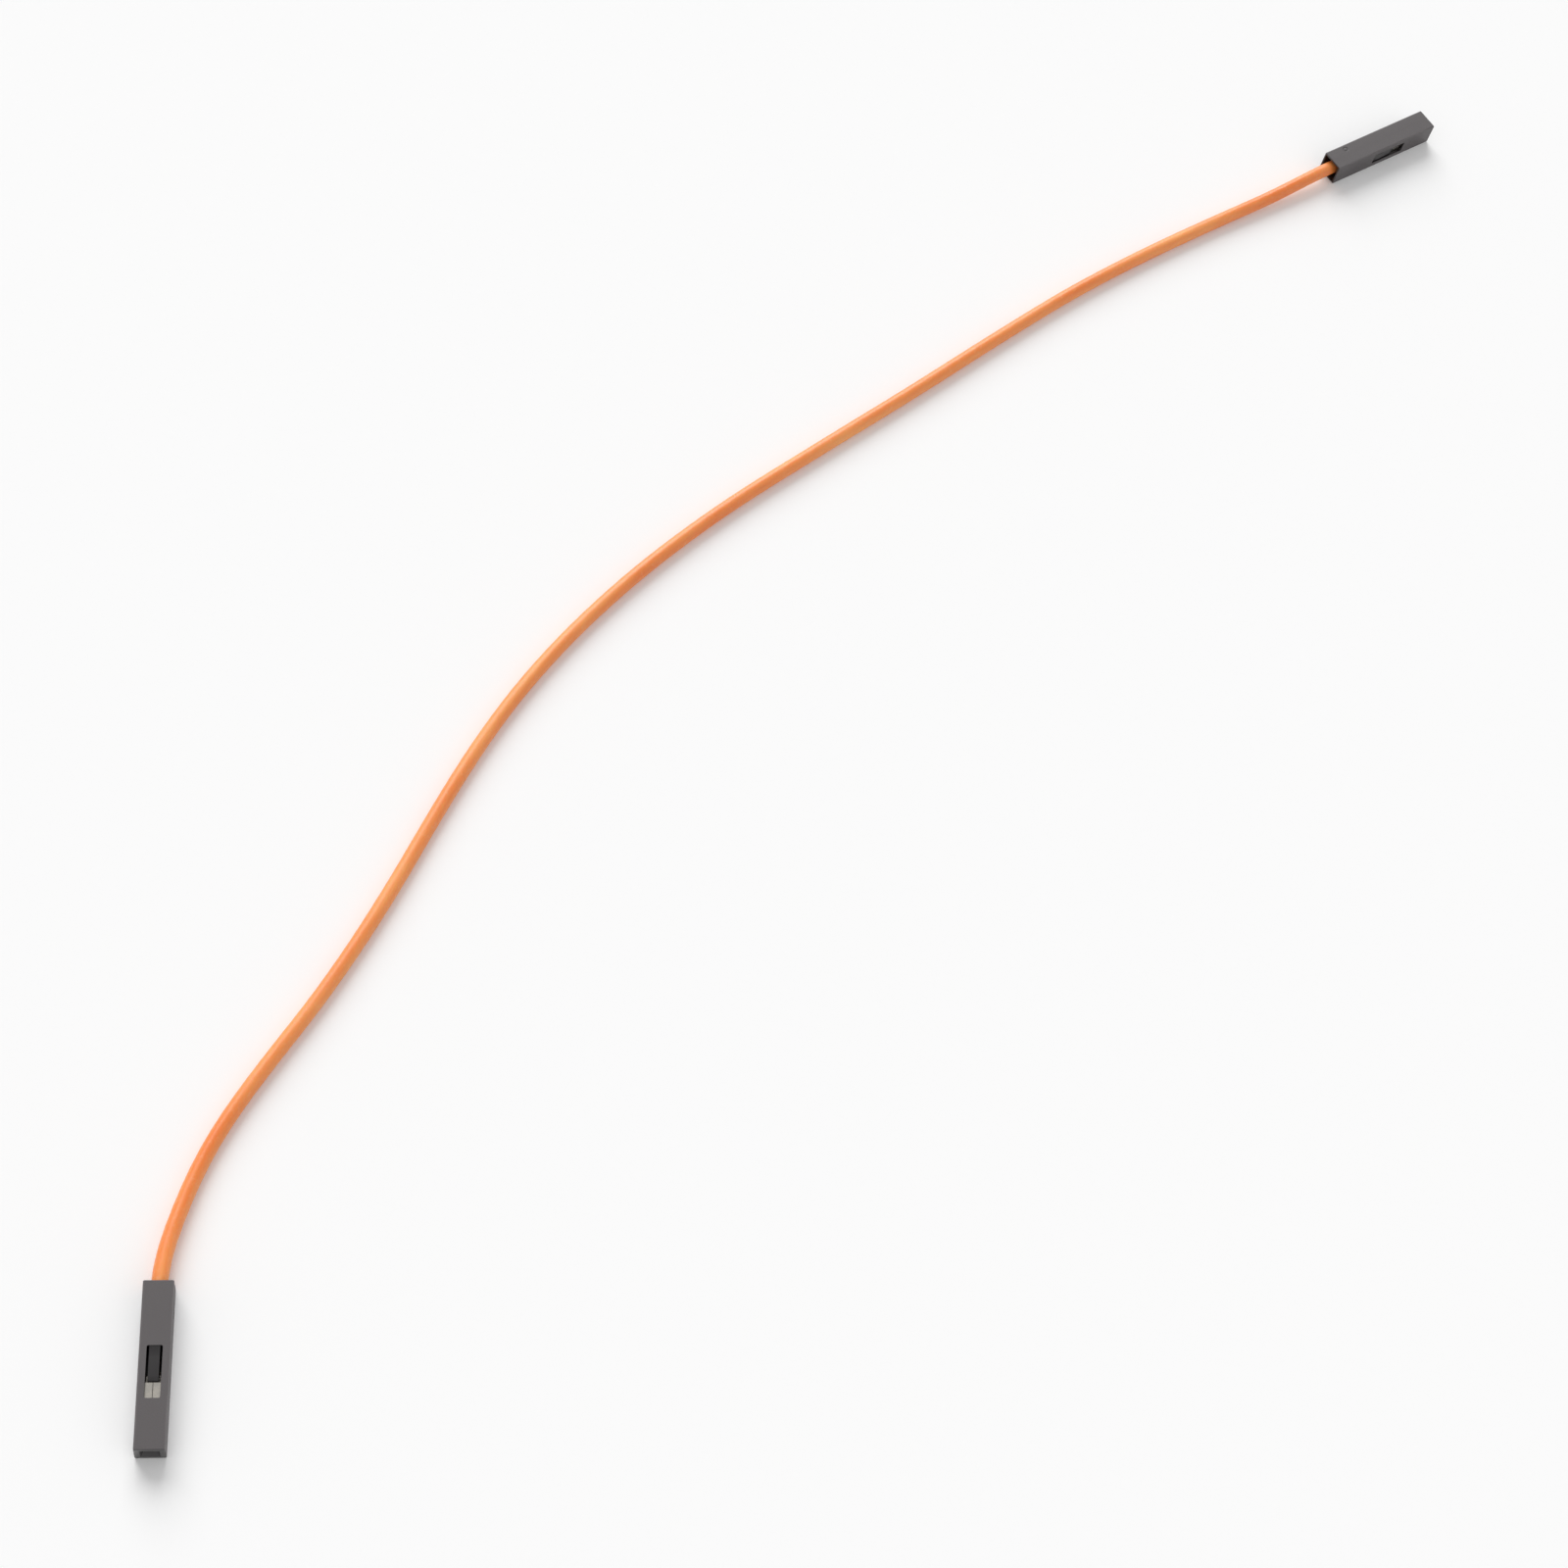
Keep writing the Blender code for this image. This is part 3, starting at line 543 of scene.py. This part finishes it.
def make_jacket(finish):
    line = wire_line()
    seed = line_mesh("jacket path", line, jacket_swell(line))
    jacket = grow("jacket", seed, jacket_tree(), {"Finish": finish})
    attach(jacket, "root")
    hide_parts("insulation")
    return jacket, line


# Housings

def loft(rings, looped=False):
    """A closed skin over rings that have the same number of points. It has a cap at each end, or runs on from
    the last ring to the first."""
    shape = bmesh.new()
    rows = [[shape.verts.new(point) for point in ring] for ring in rings]
    count = len(rows[0])
    for row, following in zip(rows, [*rows[1:], rows[0]] if looped else rows[1:]):
        for k in range(count):
            after = (k + 1) % count
            shape.faces.new((row[k], row[after], following[after], following[k]))
    if not looped:
        shape.faces.new(rows[0])
        shape.faces.new(rows[-1])
    bmesh.ops.recalc_face_normals(shape, faces=shape.faces)
    mesh = bpy.data.meshes.new("loft")
    shape.to_mesh(mesh)
    shape.free()
    return mesh


def rounded_outline(half_a, half_b, radius, segments):
    points = []
    for corner, (side_a, side_b) in enumerate(((1, 1), (-1, 1), (-1, -1), (1, -1))):
        for step in range(segments + 1):
            angle = math.radians(90 * (corner + step / segments))
            a = side_a * (half_a - radius) + radius * math.cos(angle)
            b = side_b * (half_b - radius) + radius * math.sin(angle)
            points.append((a, b))
    return points


def body_ring(inset, y):
    """A section of the moulding. The upper mould half sits a hair inside the lower one, which leaves the
    parting line along both sides."""
    side = HOUSING_HALF - inset
    outline = []
    for a, b in rounded_outline(side, side, LONG_EDGE_ROUND, LONG_EDGE_STEPS):
        outline.append((a - math.copysign(MOULD_STEP, a) if b > 0 else a, b))
    rise = MOULD_STEP_RISE / 2
    # The outline runs over the top to the left and back along the bottom, and it starts on the right.
    left = next(k for k in range(len(outline)) if outline[k][0] < 0 and outline[k][1] < 0)
    outline[left:left] = [(MOULD_STEP - side, rise), (-side, -rise)]
    outline += [(side, -rise), (side - MOULD_STEP, rise)]
    return [Vector((a, y, b)) for a, b in outline]


def housing_rings():
    rings = []
    for step in range(END_STEPS + 1):
        angle = math.radians(90 * step / END_STEPS)
        rings.append(body_ring(END_ROUND * (1 - math.sin(angle)), END_ROUND * (1 - math.cos(angle))))
    return rings + [[Vector((p.x, HOUSING_LENGTH - p.y, p.z)) for p in ring] for ring in reversed(rings)]


def square_ring(half, corner, y):
    return [Vector((a, y, b)) for a, b in rounded_outline(half, half, corner, 2)]


def cavity_rings():
    grown_by = REAR_FLARE * (1 + CUT_THROUGH / REAR_FLARE_DEPTH)
    return [
        square_ring(CAVITY_HALF, CAVITY_CORNER, FRONT_WALL),
        square_ring(CAVITY_HALF, CAVITY_CORNER, HOUSING_LENGTH - REAR_FLARE_DEPTH),
        square_ring(CAVITY_HALF + grown_by, CAVITY_CORNER, HOUSING_LENGTH + CUT_THROUGH),
    ]


def mouth_rings():
    slope = (FUNNEL_WIDTH - PIN_HOLE) / 2 / FUNNEL_DEPTH
    return [
        square_ring(FUNNEL_WIDTH / 2 + slope * CUT_THROUGH, CAVITY_CORNER, -CUT_THROUGH),
        square_ring(PIN_HOLE / 2, CAVITY_CORNER, FUNNEL_DEPTH),
        square_ring(PIN_HOLE / 2, CAVITY_CORNER, FRONT_WALL + CUT_THROUGH),
    ]


def window_rings():
    middle = (WINDOW_FRONT + LATCH_HINGE) / 2
    outline = rounded_outline(
        LATCH_WIDTH / 2 + LATCH_SLOT, (LATCH_HINGE - WINDOW_FRONT) / 2, WINDOW_CORNER, 4)
    levels = (CAVITY_HALF - CUT_THROUGH / 2, HOUSING_HALF + CUT_THROUGH)
    return [[Vector((a, middle + b, level)) for a, b in outline] for level in levels]


def tongue_rings():
    """The latch tongue: thin at the hinge, with a nose that drops behind the terminal's box."""
    top = HOUSING_HALF - LATCH_RECESS
    under = top - LATCH_THICKNESS
    tip_top = top - LATCH_TIP_RISE
    reach = LATCH_HINGE - LATCH_TIP
    outline = [
        (LATCH_HINGE + LATCH_ROOT, under),
        (LATCH_HINGE + LATCH_ROOT, top),
        (LATCH_HINGE - reach / 3, top),
        (LATCH_TIP + LATCH_NOSE, tip_top),
        (LATCH_TIP, tip_top - LATCH_TIP_RISE),
        (LATCH_TIP, LATCH_NOSE_LOW),
        (LATCH_TIP + LATCH_NOSE, LATCH_NOSE_LOW),
        (LATCH_TIP + reach / 2, under - LATCH_THICKNESS / 3),
        (LATCH_HINGE - reach / 5, under),
    ]
    return [[Vector((x, y, z)) for y, z in outline] for x in (-LATCH_WIDTH / 2, LATCH_WIDTH / 2)]


def gate_rings():
    """A shallow groove that leaves the broken-off gate standing in the middle of its dimple."""
    rings = []
    for radius, level in ((GATE_NUB_RADIUS, 1), (GATE_NUB_RADIUS, 0), (GATE_RADIUS, 0), (GATE_RADIUS, 1)):
        x = HOUSING_HALF - GATE_DEPTH + level * CUT_THROUGH
        rings.append([
            Vector((x, GATE_STATION + radius * math.cos(angle), -HOUSING_HALF / 2 + radius * math.sin(angle)))
            for angle in (math.tau * k / GATE_SIDES for k in range(GATE_SIDES))])
    return rings


def merge_points(shape, within):
    bmesh.ops.remove_doubles(shape, verts=shape.verts, dist=within)
    bmesh.ops.dissolve_degenerate(shape, edges=shape.edges, dist=within)


def join_flats(shape):
    """Joins the faces that a flat is in pieces of."""
    bmesh.ops.dissolve_limit(shape, angle_limit=FLAT_WITHIN, verts=shape.verts, edges=shape.edges)


def settle(piece, to_row_frame):
    """Keeps each point's place in its end's own frame, and moves the mesh to where the end lies."""
    mesh = piece.data
    places = np.empty(len(mesh.vertices) * 3, np.float32)
    mesh.vertices.foreach_get("co", places)
    mesh.attributes.new("own_place", "FLOAT_VECTOR", "POINT").data.foreach_set("vector", places)
    mesh.transform(to_row_frame)


def make_housing(prefix, to_row_frame, finish):
    shell = add_piece(f"{prefix}_shell", loft(housing_rings()))
    tools = []
    for mesh, operation in (
        (loft(cavity_rings()), "DIFFERENCE"), (loft(mouth_rings()), "DIFFERENCE"),
        (loft(window_rings()), "DIFFERENCE"), (loft(gate_rings(), looped=True), "DIFFERENCE"),
        (loft(tongue_rings()), "UNION"),
    ):
        tool = add_piece("housing tool", mesh)
        tools.append(tool)
        cut = shell.modifiers.new("cut", "BOOLEAN")
        cut.operation = operation
        cut.solver = "EXACT"
        cut.object = tool
    made_plain(shell)
    for tool in tools:
        bpy.data.objects.remove(tool)
    shape = bmesh.new()
    shape.from_mesh(shell.data)
    merge_points(shape, CUTS_MERGE)
    join_flats(shape)
    shape.to_mesh(shell.data)
    shape.free()
    shell.data.shade_smooth()
    edges = shell.modifiers.new("mould edges", "BEVEL")
    edges.width = CUT_EDGE_ROUND
    edges.segments = 2
    edges.limit_method = "ANGLE"
    edges.angle_limit = math.radians(40)
    flats = shell.modifiers.new("flat faces", "WEIGHTED_NORMAL")
    flats.weight = 100
    flats.keep_sharp = False
    made_plain(shell)
    settle(shell, to_row_frame)
    shell.data.materials.append(finish)
    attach(shell, "root")
    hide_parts(f"{prefix}_housing")
    return shell


# Terminals and strands

def mark_stamped_edges(shape):
    """Marks the faces that the stamping tool cut. A face of the sheet itself has the sheet's other side close
    behind it, and a cut edge doesn't."""
    stamped = shape.faces.layers.float.new("stamped_edge")
    # The rays miss small faces in metres, so this is done in millimetres.
    bmesh.ops.scale(shape, vec=(1 / MM, 1 / MM, 1 / MM), verts=shape.verts)
    skin = BVHTree.FromBMesh(shape)
    just_inside = 0.01
    through_sheet = 1.6 * SHEET / MM
    for face in shape.faces:
        start = face.calc_center_median() - face.normal * just_inside
        depth = skin.ray_cast(start, -face.normal)[3]
        face[stamped] = 0.0 if depth is not None and depth < through_sheet else 1.0
    bmesh.ops.scale(shape, vec=(MM, MM, MM), verts=shape.verts)


def smooth_folds(mesh):
    """Turns each corner's normal to the mean of the faces that it runs smoothly into, weighed by their size,
    so that flats stay flat up to the folds beside them."""
    mesh.shade_smooth()
    around = [[] for _ in mesh.vertices]
    for face in mesh.polygons:
        for corner in face.vertices:
            around[corner].append(face)
    normals = []
    for face in mesh.polygons:
        for corner in face.vertices:
            mean = Vector()
            for other in around[corner]:
                if face.normal.dot(other.normal) > math.cos(SHARPEST_FOLD):
                    mean += other.normal * other.area
            normals.append(mean.normalized())
    mesh.normals_split_custom_set(normals)


def make_terminal(prefix, to_row_frame, finish):
    """The CAD's folded sheet with its loose triangles merged and its folds smooth."""
    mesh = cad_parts[f"{prefix}_terminal"].data.copy()
    mesh.materials.clear()
    shape = bmesh.new()
    shape.from_mesh(mesh)
    merge_points(shape, SHEET_MERGE)
    mark_stamped_edges(shape)
    join_flats(shape)
    shape.to_mesh(mesh)
    shape.free()
    mesh.transform(to_row_frame.inverted())
    smooth_folds(mesh)
    socket = add_piece(f"{prefix}_socket", mesh)
    settle(socket, to_row_frame)
    mesh.materials.append(finish)
    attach(socket, "root")
    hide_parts(f"{prefix}_terminal")
    return socket


def core_tree():
    """One straight strand with six more laid round it, their cut ends fanned out a little."""
    tree = new_tree("stranded core", {
        "Strand radius": STRAND_RADIUS, "Ring radius": STRAND_RING, "Strands": STRANDS_IN_RING,
        "Turn": STRAND_TURN, "Sides": STRAND_SIDES, "Fan": 0.5, "Fan length": 0.5 * MM})
    given = add_node(tree, "NodeGroupInput").outputs
    middle = add_node(tree, "GeometryNodeMeshToCurve", {"Mesh": given["Path"]})
    copies = add_node(tree, "GeometryNodeDuplicateElements", {
        "Geometry": middle.outputs[0], "Amount": given["Strands"]}, domain="SPLINE")
    run = add_node(tree, "GeometryNodeSplineParameter").outputs["Length"]
    share = add_node(tree, "ShaderNodeMath", {
        0: copies.outputs["Duplicate Index"], 1: given["Strands"]}, operation="DIVIDE")
    phase = add_node(tree, "ShaderNodeMath", {0: share.outputs[0], 1: math.tau}, operation="MULTIPLY")
    turned = add_node(tree, "ShaderNodeMath", {0: run, 1: given["Turn"]}, operation="MULTIPLY")
    angle = add_node(tree, "ShaderNodeMath", {0: phase.outputs[0], 1: turned.outputs[0]}, operation="ADD")
    left = add_node(tree, "ShaderNodeMath", {0: run, 1: given["Fan length"]}, operation="DIVIDE")
    near_tip = add_node(tree, "ShaderNodeMath", {
        0: 1.0, 1: left.outputs[0]}, operation="SUBTRACT", use_clamp=True)
    opened = add_node(tree, "ShaderNodeMath", {
        0: near_tip.outputs[0], 1: given["Fan"], 2: 1.0}, operation="MULTIPLY_ADD")
    ring = add_node(tree, "ShaderNodeMath", {
        0: opened.outputs[0], 1: given["Ring radius"]}, operation="MULTIPLY")
    normal = add_node(tree, "GeometryNodeInputNormal").outputs["Normal"]
    tangent = add_node(tree, "GeometryNodeInputTangent").outputs["Tangent"]
    offset = add_node(tree, "ShaderNodeVectorRotate", {
        "Vector": normal, "Axis": tangent, "Angle": angle.outputs[0]}, rotation_type="AXIS_ANGLE")
    reach = add_node(tree, "ShaderNodeVectorMath", {
        0: offset.outputs[0], "Scale": ring.outputs[0]}, operation="SCALE")
    laid = add_node(tree, "GeometryNodeSetPosition", {
        "Geometry": copies.outputs["Geometry"], "Offset": reach.outputs[0]})
    together = add_node(tree, "GeometryNodeJoinGeometry", {"Geometry": laid.outputs[0]})
    tree.links.new(middle.outputs[0], together.inputs["Geometry"])
    circle = add_node(tree, "GeometryNodeCurvePrimitiveCircle", {
        "Resolution": given["Sides"], "Radius": given["Strand radius"]})
    tubes = add_node(tree, "GeometryNodeCurveToMesh", {
        "Curve": together.outputs[0], "Profile Curve": circle.outputs["Curve"], "Scale": 1.0,
        "Fill Caps": True})
    smooth = add_node(tree, "GeometryNodeSetShadeSmooth", {"Geometry": tubes.outputs[0]})
    real = add_node(tree, "GeometryNodeRealizeInstances", {"Geometry": smooth.outputs[0]})
    dressed = add_node(tree, "GeometryNodeSetMaterial", {
        "Geometry": real.outputs[0], "Material": given["Finish"]})
    add_node(tree, "NodeGroupOutput", {"Piece": dressed.outputs[0]})
    return tree


def make_core(prefix, to_row_frame, tree, finish):
    """The strands of an end. They lie low in the conductor crimp and rise over the bridge to the middle of
    the jacket."""
    line = []
    for y in np.linspace(STRAND_FRONT, STRAND_REAR, STRAND_STEPS):
        rising = np.clip((y - CONDUCTOR_REAR) / (BRIDGE_REAR - CONDUCTOR_REAR), 0, 1)
        line.append((0.0, y, -STRAND_DROP * (1 - rising * rising * (3 - 2 * rising))))
    core = grow(f"{prefix}_core", line_mesh("core path", line), tree, {"Finish": finish})
    settle(core, to_row_frame)
    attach(core, "root")
    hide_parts(*(f"{prefix}_strand_{k + 1}" for k in range(STRANDS_IN_RING + 1)))
    return core


# Table and light

def seen_directly(tree):
    """1 where the eye, a reflection or a view through glass meets the surface, and 0 for its light on
    other things."""
    rays = add_node(tree, "ShaderNodeLightPath").outputs
    mirrored = add_node(tree, "ShaderNodeMath", {
        0: rays["Is Camera Ray"], 1: rays["Is Glossy Ray"]}, operation="MAXIMUM")
    return add_node(tree, "ShaderNodeMath", {
        0: mirrored.outputs[0], 1: rays["Is Transmission Ray"]}, operation="MAXIMUM").outputs[0]


def make_table():
    """A white table top. Seen straight on it is lifted a little towards white, and it keeps the shadow."""
    material, tree, shader = start_material("white table, matt laminate")
    shader.inputs["Base Color"].default_value = linear("#F7F7F7")
    shader.inputs["Roughness"].default_value = 0.9
    shader.inputs["Specular IOR Level"].default_value = 0.1
    lift = add_node(tree, "ShaderNodeEmission", {"Color": (1.0, 1.0, 1.0, 1.0), "Strength": TABLE_LIFT})
    both = add_node(tree, "ShaderNodeAddShader", {0: shader.outputs[0], 1: lift.outputs[0]})
    seen = seen_directly(tree)
    choice = add_node(tree, "ShaderNodeMixShader", {0: seen, 1: shader.outputs[0], 2: both.outputs[0]})
    tree.links.new(choice.outputs[0], tree.nodes["Material Output"].inputs["Surface"])
    mesh = bpy.data.meshes.new("table")
    corners = [(x * TABLE_HALF, y * TABLE_HALF, 0) for x, y in ((-1, -1), (1, -1), (1, 1), (-1, 1))]
    mesh.from_pydata(corners, [], [(0, 1, 2, 3)])
    mesh.materials.append(material)
    add_piece("table", mesh)


def make_light():
    """One large softbox behind the wire, a weak fill in front, and a plain pale room whose ceiling is dimmer
    than its walls."""
    world = bpy.data.worlds.new("studio")
    bpy.context.scene.world = world
    world.use_nodes = True
    tree = world.node_tree
    background = tree.nodes["Background"]
    background.inputs["Color"].default_value = (1.0, 1.0, 1.0, 1.0)
    way = add_node(tree, "ShaderNodeTexCoord").outputs["Generated"]
    height = add_node(tree, "ShaderNodeSeparateXYZ", {"Vector": way}).outputs["Z"]
    room = add_node(tree, "ShaderNodeMapRange", {
        "Value": height, "From Min": 0.15, "From Max": 0.95, "To Min": HORIZON_LEVEL,
        "To Max": CEILING_LEVEL})
    brightness = add_node(tree, "ShaderNodeMix", {
        "Factor": seen_directly(tree), 2: ROOM_LEVEL, 3: room.outputs[0]}, data_type="FLOAT")
    tree.links.new(brightness.outputs[0], background.inputs["Strength"])
    for name, way_there, width, strength in LAMPS:
        data = bpy.data.lights.new(name, "SUN")
        data.angle = width
        data.energy = strength
        lamp = bpy.data.objects.new(name, data)
        bpy.context.scene.collection.objects.link(lamp)
        lamp.rotation_mode = "QUATERNION"
        lamp.rotation_quaternion = Vector(way_there).to_track_quat("Z", "Y")


def main():
    make_camera()
    jacket, line = make_jacket(extruded_pvc())
    polyester = moulded_polyester()
    sheet = tinned_sheet()
    copper = tinned_copper()
    strands = core_tree()
    for prefix, leave_at, heading, roll in (
        ("near", NEAR_EXIT, NEAR_HEADING, NEAR_ROLL),
        ("far", FAR_EXIT, FAR_HEADING, FAR_ROLL),
    ):
        to_row_frame = end_frame(leave_at, heading, roll)
        make_housing(prefix, to_row_frame, polyester)
        make_terminal(prefix, to_row_frame, sheet)
        make_core(prefix, to_row_frame, strands, copper)
    make_table()
    make_light()
    bpy.context.scene.view_settings.view_transform = "Standard"


main()
